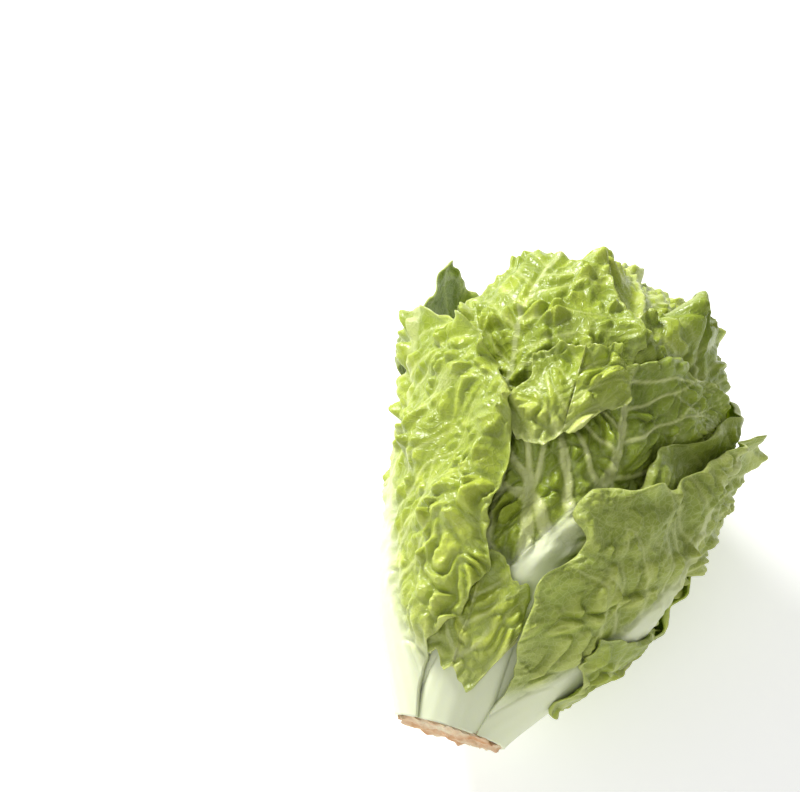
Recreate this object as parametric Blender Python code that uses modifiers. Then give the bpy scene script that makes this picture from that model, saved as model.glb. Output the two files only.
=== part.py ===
"""A small romaine (cos) lettuce head lying on its side, cut from its root.

The head is described in its own frame first: S runs along its axis from the cut
stem to the crown, and azimuths run round it from the side that faces up, positive
to the right (+X). Every leaf is a strip of one of a family of nested shells, each
at its own level under the head's outline, so that no two leaves meet. The finished
head is then leaned back, pressed onto the table by its own weight and centred.
Lengths in this file are millimetres until the last step. Angles are degrees.
"""

import math
from dataclasses import dataclass

import bmesh
import bpy
from mathutils import Matrix, Vector

MM = 0.001

# The head's outline
CUT_RADIUS = 15.0  # across the feet of the outer leaves, at the cut
BELLY_RADIUS = 48.0
BELLY_AT = 95.0  # S of the widest place, where the crown's dome begins
DOME_HEIGHT = 51.0
DOME_ARC = 50.0  # arc length of one radian over the dome
TRUNK_POWERS = (1.15, 2.6)  # shape of the outline between the cut and the belly
LEAN = 6.0  # the upper part sits this far to the right of the stem
LEAN_ENDS_AT = 60.0

# How leaves leave the stem and gather at the crown
FAN_ENDS_AT = 50.0  # above this S a leaf keeps its level
CROWN_FROM = 95.0
CROWN_TO = 135.0
LEVEL_OUTERMOST = -4.0

# How the head lies
TILT = 12.0  # crown end up, because the belly is wide and the foot is slim
PRESS = 4.5  # depth to which the table flattens the underside
PRESS_FADES_OVER = 16.0

# Stem
STEM_PROFILE = ((0.0, 10.1), (6.0, 10.3), (11.0, 9.7), (16.0, 8.6), (22.0, 6.7), (27.0, 5.0), (31.0, 2.6))
STEM_SIDES = 28

LEAF_COLOURS = {
    "outer": (0.30, 0.44, 0.08),
    "inner": (0.42, 0.55, 0.13),
    "heart": (0.58, 0.66, 0.24),
}
STEM_COLOUR = (0.80, 0.74, 0.52)


@dataclass(frozen=True)
class Ring:
    """Leaves whose feet stand at one height on the stem."""

    foot_at: float  # S of the foot
    foot_radius: float  # outer face at the foot
    foot_thickness: float
    blade_thickness: float
    follows_outline: bool  # the outer rings bulge like the outline, the inner ones rise straight
    crown_shift: float  # how far the leaves ease outward above the outer leaves' tips
    grid: tuple  # quads across and along
    colour: str


RINGS = {
    "outer": Ring(0.0, 15.0, 2.1, 1.3, True, 0.0, (14, 18), "outer"),
    "second": Ring(0.0, 12.4, 1.8, 1.2, True, 6.4, (14, 13), "outer"),
    "third": Ring(6.0, 12.4, 1.4, 1.2, False, 10.0, (12, 13), "inner"),
    "fourth": Ring(11.0, 11.6, 1.3, 1.2, False, 10.0, (10, 12), "inner"),
    "fifth": Ring(16.0, 10.4, 1.2, 1.1, False, 10.0, (8, 10), "heart"),
    "sixth": Ring(22.0, 8.4, 1.1, 1.0, False, 10.0, (7, 9), "heart"),
}


@dataclass(frozen=True)
class Leaf:
    """One leaf, laid out along its midrib."""

    name: str
    ring: str
    level: float  # depth of its outer face below the outline, above the fan
    azimuth: tuple  # (arc length, angle) of the midrib round the head
    sides: tuple  # (arc length, half-width to the left, half-width to the right)
    top: tuple  # (share of the half-width from -1 to 1, arc length of the upper margin)
    flare: float = 0.0  # how far the tip stands out from the head
    flare_from: float = 90.0  # arc length where it begins
    flare_side: float = 0.0  # -1 flares the left half only, 1 the right half only


LEAVES = (
    Leaf(
        "outer_leaf_under", "outer", LEVEL_OUTERMOST, ((0, 162), (40, 172), (100, 176)),
        ((0, 26, 25), (14, 28, 20), (34, 34, 26), (60, 62, 56), (85, 60, 40), (110, 44, 18)),
        ((-1, 92), (-0.5, 108), (0, 114), (0.5, 110), (1, 96)),
    ),
    Leaf(
        "outer_leaf_back_left", "outer", 0.0, ((0, -140), (60, -136), (125, -122)),
        ((0, 30, 29), (32, 30, 30), (60, 52, 44), (90, 52, 44), (112, 32, 30), (128, 24, 24)),
        ((-1, 100), (-0.5, 120), (0, 128), (0.5, 124), (1, 112)),
        flare=17.0, flare_from=96.0,
    ),
    Leaf(
        "outer_leaf_right", "outer", 0.0, ((0, 82), (60, 81), (112, 76)),
        ((0, 46, 45), (14, 52, 46), (26, 65, 48), (41, 68, 54), (69, 63, 60), (84, 44, 56), (100, 34, 40)),
        ((-1, 66), (-0.66, 82), (-0.35, 93), (0, 113), (0.5, 110), (1, 92)),
        flare=13.0, flare_from=74.0, flare_side=-0.4,
    ),
    Leaf(
        "outer_leaf_left", "outer", 2.4, ((0, -78), (60, -79), (112, -74)),
        ((0, 30, 42), (12, 30, 50), (26, 30, 62), (40, 40, 68), (60, 50, 65), (86, 50, 61), (98, 40, 52)),
        ((-1, 96), (-0.5, 108), (0, 114), (0.45, 111), (1, 94)),
        flare=5.0, flare_from=98.0,
    ),
    Leaf(
        "lower_right_leaf", "second", 4.8, ((0, 118), (60, 110), (110, 104)),
        ((0, 54, 58), (16, 52, 58), (36, 60, 60), (60, 72, 66), (90, 62, 60), (112, 46, 44)),
        ((-1, 90), (-0.5, 110), (0, 118), (0.5, 112), (1, 92)),
    ),
    Leaf(
        "front_leaf", "second", 7.2, ((0, 2), (40, 5), (74, 20), (100, 22), (125, 22)),
        ((0, 50, 48), (16, 50, 48), (36, 52, 58), (60, 56, 72), (80, 54, 78), (92, 40, 78), (115, 34, 70), (135, 30, 56)),
        ((-1, 92), (-0.5, 106), (0, 123), (0.5, 133), (1, 128)),
    ),
    Leaf(
        "back_leaf", "second", 9.6, ((0, -122), (60, -118), (110, -116)),
        ((0, 58, 60), (30, 60, 60), (60, 66, 66), (85, 58, 58), (104, 44, 42)),
        ((-1, 84), (-0.5, 98), (0, 106), (0.5, 100), (1, 86)),
    ),
    Leaf(
        "crown_leaf_left", "third", 12.0, ((6, -40), (60, -32), (140, -28)),
        ((6, 52, 50), (50, 56, 54), (90, 52, 52), (115, 44, 46), (140, 34, 38)),
        ((-1, 112), (-0.5, 132), (0, 141), (0.5, 138), (1, 122)),
    ),
    Leaf(
        "crown_leaf_right", "third", 14.4, ((6, 72), (60, 66), (140, 60)),
        ((6, 48, 48), (50, 56, 56), (90, 60, 60), (115, 54, 52), (140, 44, 40)),
        ((-1, 126), (-0.5, 132), (0, 136), (0.5, 130), (1, 112)),
    ),
    Leaf(
        "crown_leaf_under", "third", 16.8, ((6, -160), (60, -164), (140, -168)),
        ((6, 52, 50), (50, 60, 60), (90, 62, 62), (115, 54, 54), (140, 42, 42)),
        ((-1, 112), (-0.5, 132), (0, 140), (0.5, 134), (1, 114)),
    ),
    Leaf(
        "inner_leaf_front", "fourth", 19.0, ((11, 20), (80, 26), (165, 30)),
        ((11, 54, 54), (60, 62, 62), (95, 66, 66), (125, 56, 56), (165, 40, 40)),
        ((-1, 126), (-0.5, 152), (0, 163), (0.5, 154), (1, 128)),
    ),
    Leaf(
        "inner_leaf_right", "fourth", 21.2, ((11, 140), (80, 134), (165, 128)),
        ((11, 54, 54), (60, 62, 62), (95, 64, 64), (125, 54, 54), (160, 40, 40)),
        ((-1, 120), (-0.5, 144), (0, 154), (0.5, 146), (1, 122)),
    ),
    Leaf(
        "inner_leaf_left", "fourth", 23.4, ((11, -100), (80, -96), (165, -92)),
        ((11, 54, 54), (60, 62, 62), (95, 64, 64), (125, 54, 54), (160, 40, 40)),
        ((-1, 120), (-0.5, 142), (0, 152), (0.5, 144), (1, 122)),
    ),
    Leaf(
        "heart_leaf_1", "fifth", 25.6, ((16, 80), (165, 76)),
        ((16, 50, 50), (60, 64, 64), (100, 64, 64), (150, 44, 44)),
        ((-1, 122), (-0.5, 144), (0, 154), (0.5, 146), (1, 124)),
    ),
    Leaf(
        "heart_leaf_2", "fifth", 27.8, ((16, -160), (165, -156)),
        ((16, 50, 50), (60, 64, 64), (100, 64, 64), (150, 44, 44)),
        ((-1, 120), (-0.5, 140), (0, 150), (0.5, 142), (1, 122)),
    ),
    Leaf(
        "heart_leaf_3", "fifth", 30.0, ((16, -40), (165, -36)),
        ((16, 50, 50), (60, 66, 66), (100, 66, 66), (150, 46, 46)),
        ((-1, 118), (-0.5, 138), (0, 148), (0.5, 140), (1, 120)),
    ),
    Leaf(
        "heart_leaf_4", "sixth", 32.0, ((22, 20), (165, 24)),
        ((22, 50, 50), (60, 66, 66), (100, 66, 66), (150, 46, 46)),
        ((-1, 114), (-0.5, 134), (0, 144), (0.5, 136), (1, 116)),
    ),
    Leaf(
        "heart_leaf_5", "sixth", 34.0, ((22, 140), (165, 144)),
        ((22, 50, 50), (60, 66, 66), (100, 66, 66), (150, 46, 46)),
        ((-1, 112), (-0.5, 130), (0, 140), (0.5, 132), (1, 114)),
    ),
    Leaf(
        "heart_leaf_6", "sixth", 36.0, ((22, -100), (165, -96)),
        ((22, 50, 50), (60, 66, 66), (100, 66, 66), (150, 46, 46)),
        ((-1, 110), (-0.5, 126), (0, 136), (0.5, 128), (1, 112)),
    ),
)


def smooth(low, high, x):
    """0 below low, 1 above high and an S-shaped ease between them."""
    share = min(1.0, max(0.0, (x - low) / (high - low)))
    return share * share * (3.0 - 2.0 * share)


def along(points, x, column=1):
    """The value of a column at x, on a smooth curve through the points' rows."""
    if x <= points[0][0]:
        return float(points[0][column])
    if x >= points[-1][0]:
        return float(points[-1][column])
    at = next(i for i in range(1, len(points)) if x <= points[i][0])
    before, low, high, after = (points[max(0, min(len(points) - 1, at + k))] for k in (-2, -1, 0, 1))
    span = high[0] - low[0]
    share = (x - low[0]) / span
    slope_low = (high[column] - before[column]) / (high[0] - before[0]) * span
    slope_high = (after[column] - low[column]) / (after[0] - low[0]) * span
    curve = Vector((low[column], slope_low, high[column], slope_high))
    s2, s3 = share**2, share**3
    weights = Vector((2 * s3 - 3 * s2 + 1, s3 - 2 * s2 + share, 3 * s2 - 2 * s3, s3 - s2))
    return curve.dot(weights)


def outline_radius(s):
    """Radius of the head's outline at S, from the cut to the belly."""
    inner, outer = TRUNK_POWERS
    share = min(1.0, max(0.0, s / BELLY_AT))
    return CUT_RADIUS + (BELLY_RADIUS - CUT_RADIUS) * (1.0 - (1.0 - share**inner) ** outer)


def leaf_depth(leaf, s):
    """Depth of the leaf's outer face below the outline at S."""
    ring = RINGS[leaf.ring]
    if s >= FAN_ENDS_AT:
        return leaf.level - ring.crown_shift * smooth(CROWN_FROM, CROWN_TO, s)
    rise = outline_radius if ring.follows_outline else float
    share = (rise(s) - rise(ring.foot_at)) / (rise(FAN_ENDS_AT) - rise(ring.foot_at))
    radius_above = outline_radius(FAN_ENDS_AT) - leaf.level
    radius = ring.foot_radius + (radius_above - ring.foot_radius) * max(0.0, share)
    return outline_radius(s) - radius


def head_point(azimuth, lateral, arc, depth):
    """A point of the shell at this depth, in the head's frame: right, along the axis, up.

    Azimuth and lateral angle are in radians; arc is the length along the midrib.
    """
    turn = (arc - BELLY_AT) / DOME_ARC
    if turn <= 0.0:
        angle = azimuth + lateral
        radius = outline_radius(arc) - depth
        return Vector((radius * math.sin(angle), arc, radius * math.cos(angle)))
    out, side = math.cos(lateral) * math.cos(turn), math.sin(lateral)
    radius = BELLY_RADIUS - depth
    right = radius * (out * math.sin(azimuth) + side * math.cos(azimuth))
    up = radius * (out * math.cos(azimuth) - side * math.sin(azimuth))
    return Vector((right, BELLY_AT + (DOME_HEIGHT - depth) * math.cos(lateral) * math.sin(turn), up))


def leaned(point):
    """A point of the head's frame after the head leans right and is tilted crown up."""
    shifted = point + Vector((LEAN * smooth(0.0, LEAN_ENDS_AT, point.y), 0.0, 0.0))
    return Matrix.Rotation(math.radians(TILT), 3, "X") @ shifted


def lowest_of_outline():
    """Height of the outermost shell's lowest point before the table presses it."""
    arcs = (0.5 * step for step in range(2 * int(BELLY_AT)))
    return min(leaned(head_point(math.pi, 0.0, arc, LEVEL_OUTERMOST)).z for arc in arcs)


TABLE_AT = lowest_of_outline() + PRESS


def placed(azimuth, lateral, arc, depth):
    """A point in the lying head, with the table at height 0 and the underside pressed flat."""
    point = leaned(head_point(azimuth, lateral, arc, depth))
    under = leaned(head_point(azimuth, lateral, arc, LEVEL_OUTERMOST)).z - TABLE_AT
    point.z -= TABLE_AT
    if under < 0.0:
        point.z -= under * max(0.0, 1.0 - (depth - LEVEL_OUTERMOST) / PRESS_FADES_OVER)
    return point


def flare_at(leaf, u, arc):
    """How far the leaf stands out from its level near its tip."""
    if arc <= leaf.flare_from:
        return 0.0
    share = (arc - leaf.flare_from) / (along(leaf.top, 0.0) - leaf.flare_from)
    side = max(0.0, 1.0 - max(0.0, u * -leaf.flare_side) * 2.0) if leaf.flare_side else 1.0
    side = max(0.0, 1.0 - max(0.0, u) * 1.8) if leaf.flare_side < 0.0 else side
    return leaf.flare * min(1.3, share) ** 1.6 * side


def leaf_point(leaf, u, v):
    """A point of the leaf's outer face: u from -1 at the left margin to 1, v from foot to tip."""
    ring = RINGS[leaf.ring]
    arc = ring.foot_at + (along(leaf.top, u) - ring.foot_at) * v
    half_width = along(leaf.sides, arc, 1 if u < 0.0 else 2)
    lateral = math.radians(u * half_width)
    azimuth = math.radians(along(leaf.azimuth, arc))
    s = head_point(azimuth, lateral, arc, 0.0).y
    return placed(azimuth, lateral, arc, leaf_depth(leaf, s) - flare_at(leaf, u, arc))


def material_for(name, colour, roughness):
    """A Principled material of one colour."""
    material = bpy.data.materials.get(name) or bpy.data.materials.new(name)
    material.use_nodes = True
    shader = material.node_tree.nodes["Principled BSDF"]
    shader.inputs["Base Color"].default_value = (*colour, 1.0)
    shader.inputs["Roughness"].default_value = roughness
    shader.inputs["Metallic"].default_value = 0.0
    return material


def add_leaf(leaf, collection):
    """Bends a flat grid onto the leaf's shell and gives it a wall that is thick at the rib."""
    ring = RINGS[leaf.ring]
    across, up = ring.grid
    mesh = bpy.data.meshes.new(leaf.name)
    sheet = bmesh.new()
    bmesh.ops.create_grid(sheet, x_segments=across, y_segments=up, size=1.0)
    stations = [(vertex.co.x, (vertex.co.y + 1.0) / 2.0) for vertex in sheet.verts]
    for vertex, (u, v) in zip(sheet.verts, stations):
        vertex.co = leaf_point(leaf, u, v) * MM
    sheet.to_mesh(mesh)
    sheet.free()
    mesh.materials.append(material_for(f"leaf_{ring.colour}", LEAF_COLOURS[ring.colour], 0.45))
    mesh.shade_smooth()
    obj = bpy.data.objects.new(leaf.name, mesh)
    collection.objects.link(obj)
    rib = obj.vertex_groups.new(name="rib")
    for index, (u, v) in enumerate(stations):
        share = (1.0 - smooth(0.0, 0.9, abs(u))) * (1.0 - smooth(0.0, 0.8, v))
        rib.add([index], share, "REPLACE")
    wall = obj.modifiers.new("wall", "SOLIDIFY")
    wall.thickness = ring.foot_thickness * MM
    wall.offset = -1.0
    wall.vertex_group = rib.name
    wall.thickness_vertex_group = ring.blade_thickness / ring.foot_thickness
    return obj


def add_stem(collection):
    """The short stem inside the head, flat where it was cut and tapering between the leaf feet."""
    mesh = bpy.data.meshes.new("stem")
    profile = ((0.0, 0.0), *STEM_PROFILE, (STEM_PROFILE[-1][0] + 1.6, 0.0))
    turned = bmesh.new()
    points = [turned.verts.new((radius, s, 0.0)) for s, radius in profile]
    edges = [turned.edges.new(pair) for pair in zip(points, points[1:])]
    bmesh.ops.spin(
        turned, geom=points + edges, cent=(0.0, 0.0, 0.0), axis=(0.0, 1.0, 0.0),
        angle=math.tau, steps=STEM_SIDES, use_merge=True, use_duplicate=False,
    )
    bmesh.ops.remove_doubles(turned, verts=turned.verts, dist=0.01)
    bmesh.ops.recalc_face_normals(turned, faces=turned.faces)
    for vertex in turned.verts:
        vertex.co = (leaned(vertex.co) - Vector((0.0, 0.0, TABLE_AT))) * MM
    turned.to_mesh(mesh)
    turned.free()
    mesh.materials.append(material_for("stem", STEM_COLOUR, 0.6))
    stem = bpy.data.objects.new("stem", mesh)
    collection.objects.link(stem)
    return stem


def centre_on_origin(objects):
    """Moves the head so that its box is centred over the origin."""
    bpy.context.view_layer.update()
    graph = bpy.context.evaluated_depsgraph_get()
    points = []
    for obj in objects:
        finished = obj.evaluated_get(graph)
        points += [obj.matrix_world @ vertex.co for vertex in finished.to_mesh().vertices]
        finished.to_mesh_clear()
    low = Vector(min(point[axis] for point in points) for axis in range(3))
    high = Vector(max(point[axis] for point in points) for axis in range(3))
    middle = (low + high) / 2.0
    for obj in objects:
        obj.location -= Vector((middle.x, middle.y, low.z))


def main():
    """Clears the scene and builds the head."""
    for obj in list(bpy.data.objects):
        bpy.data.objects.remove(obj)
    collection = bpy.data.collections.new("romaine_lettuce_head")
    bpy.context.scene.collection.children.link(collection)
    objects = [add_stem(collection)]
    objects += [add_leaf(leaf, collection) for leaf in LEAVES]
    centre_on_origin(objects)


main()
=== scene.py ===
"""A small romaine lettuce head on its side, on a white studio table.

Leaves are sheets wrapped round the head at nested depths. Each one is laid out on its
own flat map, where X runs across the leaf and Y from foot to tip, gets its relief of
ribs, blisters and frilled margins there, and is then draped over the leaves inside it.
Lengths are millimetres until a mesh is written. Angles are degrees unless said.
"""

from __future__ import annotations

import logging
import math
from dataclasses import dataclass, field
from enum import Enum

import bpy
import numpy as np
from mathutils import Matrix, Vector, kdtree

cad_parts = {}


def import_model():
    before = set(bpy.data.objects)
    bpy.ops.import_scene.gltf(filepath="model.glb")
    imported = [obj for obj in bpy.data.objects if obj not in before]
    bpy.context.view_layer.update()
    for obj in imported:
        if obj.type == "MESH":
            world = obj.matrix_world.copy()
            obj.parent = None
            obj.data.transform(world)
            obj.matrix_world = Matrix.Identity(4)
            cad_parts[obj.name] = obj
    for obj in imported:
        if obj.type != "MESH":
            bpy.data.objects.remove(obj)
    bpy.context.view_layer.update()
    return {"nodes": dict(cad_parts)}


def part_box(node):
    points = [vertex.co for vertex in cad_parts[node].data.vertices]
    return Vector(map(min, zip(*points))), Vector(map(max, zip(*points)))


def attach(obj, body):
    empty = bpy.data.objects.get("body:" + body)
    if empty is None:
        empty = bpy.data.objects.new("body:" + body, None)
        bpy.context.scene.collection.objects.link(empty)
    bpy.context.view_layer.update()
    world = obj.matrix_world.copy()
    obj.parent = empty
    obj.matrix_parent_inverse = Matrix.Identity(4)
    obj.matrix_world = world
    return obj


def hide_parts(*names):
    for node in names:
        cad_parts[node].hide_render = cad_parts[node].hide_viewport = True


MM = 0.001
OFF_LEAF = 1e3  # depth that stands for a place with no leaf
LOG = logging.getLogger("lettuce")
Points = tuple  # rows of numbers, the first of which is the position along a curve


# ---------------------------------------------------------------- numbers


def smooth(low: float, high: float, x: np.ndarray) -> np.ndarray:
    """An S-shaped ease from 0 below low to 1 above high."""
    share = np.clip((np.asarray(x, float) - low) / (high - low), 0.0, 1.0)
    return share * share * (3.0 - 2.0 * share)


def along(points: Points, x: np.ndarray, column: int = 1) -> np.ndarray:
    """Reads a smooth curve that goes through the points' rows.

    Args:
        points: Rows of numbers, position first.
        x: Positions to read, held between the first and the last row.
        column: Which number of the rows is read.

    Returns:
        The column's value at each position.
    """
    rows = np.array(points, float)
    at, value = rows[:, 0], rows[:, column]
    slope = np.gradient(value, at) if len(at) > 1 else np.zeros(1)
    x = np.clip(np.asarray(x, float), at[0], at[-1])
    low = np.clip(np.searchsorted(at, x, side="right") - 1, 0, len(at) - 2)
    span = at[low + 1] - at[low]
    t = (x - at[low]) / span
    t2, t3 = t * t, t * t * t
    start = (2 * t3 - 3 * t2 + 1) * value[low] + (t3 - 2 * t2 + t) * span * slope[low]
    end = (3 * t2 - 2 * t3) * value[low + 1] + (t3 - t2) * span * slope[low + 1]
    return start + end


def waves(x: np.ndarray, y: np.ndarray, length: float, seed: int, count: int = 18) -> np.ndarray:
    """A smooth random field of about unit height.

    Args:
        x: First coordinate.
        y: Second coordinate.
        length: Distance between bumps.
        seed: Start of the random draws.
        count: How many plane waves are summed.

    Returns:
        The field's value at each point.
    """
    random = np.random.default_rng(seed)
    total = np.zeros(np.broadcast(x, y).shape)
    for _ in range(count):
        turn, phase = random.uniform(0, math.tau, 2)
        rate = math.tau / (length * random.uniform(0.75, 1.5))
        total = total + np.cos(rate * (x * math.cos(turn) + y * math.sin(turn)) + phase)
    return total / math.sqrt(count / 2)


def spread(values: np.ndarray, reach: int, largest: bool = False) -> np.ndarray:
    """The mean, or the largest, of each cell's square neighbourhood in a grid.

    Args:
        values: The grid.
        reach: How many cells the neighbourhood goes each way.
        largest: Takes the largest value instead of the mean.

    Returns:
        A grid of the same size.
    """
    for axis in (0, 1):
        ends = [(reach, reach) if a == axis else (0, 0) for a in (0, 1)]
        padded = np.pad(values, ends, mode="edge")
        size = values.shape[axis]
        shifted = (np.take(padded, range(k, k + size), axis=axis) for k in range(2 * reach + 1))
        values = np.max(list(shifted), 0) if largest else np.mean(list(shifted), 0)
    return values


# ---------------------------------------------------------------- the head's shape


@dataclass(frozen=True)
class HeadShape:
    """The outline all leaves follow: a slim foot, a belly and a domed crown, lying tilted."""

    cut_radius: float = 15.0
    belly_radius: float = 48.0
    belly_at: float = 95.0
    dome_height: float = 51.0
    dome_arc: float = 50.0
    trunk_powers: tuple = (1.15, 2.6)
    lean: float = 6.0
    lean_ends_at: float = 60.0
    fan_ends_at: float = 50.0
    crown_from: float = 95.0
    crown_to: float = 135.0
    outermost: float = -4.0
    tilt: float = 12.0
    press: float = 4.5
    press_fades_over: float = 16.0

    def radius(self, s: np.ndarray) -> np.ndarray:
        """Radius of the outline up to the belly.

        Args:
            s: Distance from the cut along the axis.

        Returns:
            The radius at each distance.
        """
        inner, outer = self.trunk_powers
        share = np.clip(np.asarray(s, float) / self.belly_at, 0.0, 1.0)
        growth = 1.0 - (1.0 - share**inner) ** outer
        return self.cut_radius + (self.belly_radius - self.cut_radius) * growth

    def direction(self, azimuth: np.ndarray, lateral: np.ndarray, arc: np.ndarray) -> np.ndarray:
        """Directions in which the shell's points stand from the axis, or from the dome's centre.

        Args:
            azimuth: Where the midrib stands round the head, in radians.
            lateral: Angle to the right of the midrib, in radians.
            arc: Length along the midrib from the cut.

        Returns:
            Rows of right, axial and up, each of length 1. Axial is 0 below the dome.
        """
        turn = np.maximum(0.0, (arc - self.belly_at) / self.dome_arc)
        on_trunk = arc <= self.belly_at
        angle = azimuth + lateral
        out, side = np.cos(lateral) * np.cos(turn), np.sin(lateral)
        right = np.where(on_trunk, np.sin(angle), out * np.sin(azimuth) + side * np.cos(azimuth))
        up = np.where(on_trunk, np.cos(angle), out * np.cos(azimuth) - side * np.sin(azimuth))
        axial = np.where(on_trunk, 0.0, np.cos(lateral) * np.sin(turn))
        return np.stack(np.broadcast_arrays(right, axial, up), -1)

    def point(self, azimuth: np.ndarray, lateral: np.ndarray, arc: np.ndarray,
              depth: np.ndarray) -> np.ndarray:
        """Points of the shell at a depth below the outline.

        Args:
            azimuth: Where the midrib stands round the head, in radians.
            lateral: Angle to the right of the midrib, in radians.
            arc: Length along the midrib from the cut.
            depth: How far the point lies under the outline.

        Returns:
            Rows of right, along the axis and up, before the head is laid down.
        """
        right, axial, up = np.moveaxis(self.direction(azimuth, lateral, arc), -1, 0)
        on_trunk = arc <= self.belly_at
        radius = np.where(on_trunk, self.radius(arc), self.belly_radius) - depth
        along_axis = np.where(on_trunk, arc, self.belly_at + (self.dome_height - depth) * axial)
        return np.stack(np.broadcast_arrays(radius * right, along_axis, radius * up), -1)

    def laid(self, points: np.ndarray) -> np.ndarray:
        """Leans the head to the right and tilts it crown up.

        Args:
            points: Rows of right, along the axis and up.

        Returns:
            Rows of X, Y and Z, with the table still at its own height.
        """
        right, axial, up = np.moveaxis(points, -1, 0)
        right = right + self.lean * smooth(0.0, self.lean_ends_at, axial)
        c, s = math.cos(math.radians(self.tilt)), math.sin(math.radians(self.tilt))
        return np.stack((right, c * axial - s * up, s * axial + c * up), -1)

    def table(self) -> float:
        """Finds the table's height in the tilted head's frame.

        Returns:
            The height at which the pressed underside lies.
        """
        arcs = np.arange(0.0, self.belly_at, 0.5)
        lowest = self.laid(self.point(math.pi, 0.0, arcs, self.outermost))[:, 2].min()
        return lowest + self.press

    def placed(self, azimuth: np.ndarray, lateral: np.ndarray, arc: np.ndarray,
               depth: np.ndarray) -> np.ndarray:
        """Points in the lying head, with the table at height 0 and the underside pressed flat.

        Args:
            azimuth: Where the midrib stands round the head, in radians.
            lateral: Angle to the right of the midrib, in radians.
            arc: Length along the midrib from the cut.
            depth: How far the point lies under the outline.

        Returns:
            Rows of X, Y and Z.
        """
        points = self.laid(self.point(azimuth, lateral, arc, depth))
        table = self.table()
        under = self.laid(self.point(azimuth, lateral, arc, self.outermost))[..., 2] - table
        give = np.clip(1.0 - (depth - self.outermost) / self.press_fades_over, 0.0, 1.0)
        points[..., 2] += -table - np.minimum(under, 0.0) * give
        return points


@dataclass(frozen=True)
class Ring:
    """Leaves whose feet stand at one height on the stem."""

    foot_at: float
    foot_radius: float
    follows_outline: bool
    crown_shift: float
    slot: str


class Tier(Enum):
    """The rings of leaves, from the outside in."""

    OUTER = Ring(0.0, 15.0, True, 0.0, "leaf_outer")
    SECOND = Ring(0.0, 12.4, True, 6.4, "leaf_outer")
    THIRD = Ring(6.0, 12.4, False, 10.0, "leaf_inner")
    FOURTH = Ring(11.0, 11.6, False, 10.0, "leaf_inner")
    FIFTH = Ring(16.0, 10.4, False, 10.0, "leaf_heart")
    SIXTH = Ring(22.0, 8.4, False, 10.0, "leaf_heart")


# ---------------------------------------------------------------- leaf plans


@dataclass(frozen=True)
class Tone:
    """A leaf's colouring: how green it is, and how dull its outer face."""

    deep: float = 0.5  # 0 is yellow-green, 1 is full dark green
    dull: float = 0.0  # 1 is the matt grey-green of a leaf's back
    white_to: float = 26.0  # length over which the foot stays white
    fade: float = 1.0  # how pale the lower blade is
    veins: float = 0.38  # how pale the side ribs are


@dataclass(frozen=True)
class Plan:
    """One leaf or fold, laid out along its midrib.

    sides rows hold a length, then the half-widths to the left and right as angles.
    top and bottom rows hold a share of the half-width from -1 to 1, then a length.
    lifts rows hold a share across, a length, two radii and how far the blade stands out.
    """

    name: str
    node: str
    tier: Tier
    level: float
    azimuth: Points
    sides: Points
    top: Points
    bottom: Points = ((-1, 0), (1, 0))  # across the foot
    grid: tuple = (150, 200)
    blister: float = 1.9  # height of the bulges between veins
    cell: float = 6.5  # their size
    rib: float = 1.0  # how strong the midrib is
    fan: float = 1.0  # how strong the side ribs near the foot are
    ruffle: float = 1.6
    lifts: tuple = ()
    tone: Tone = Tone()
    seed: int = 1


def straight(length: float) -> Points:
    """Rows of a sheet that starts at one length all the way across."""
    return ((-1, length), (1, length))


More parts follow.
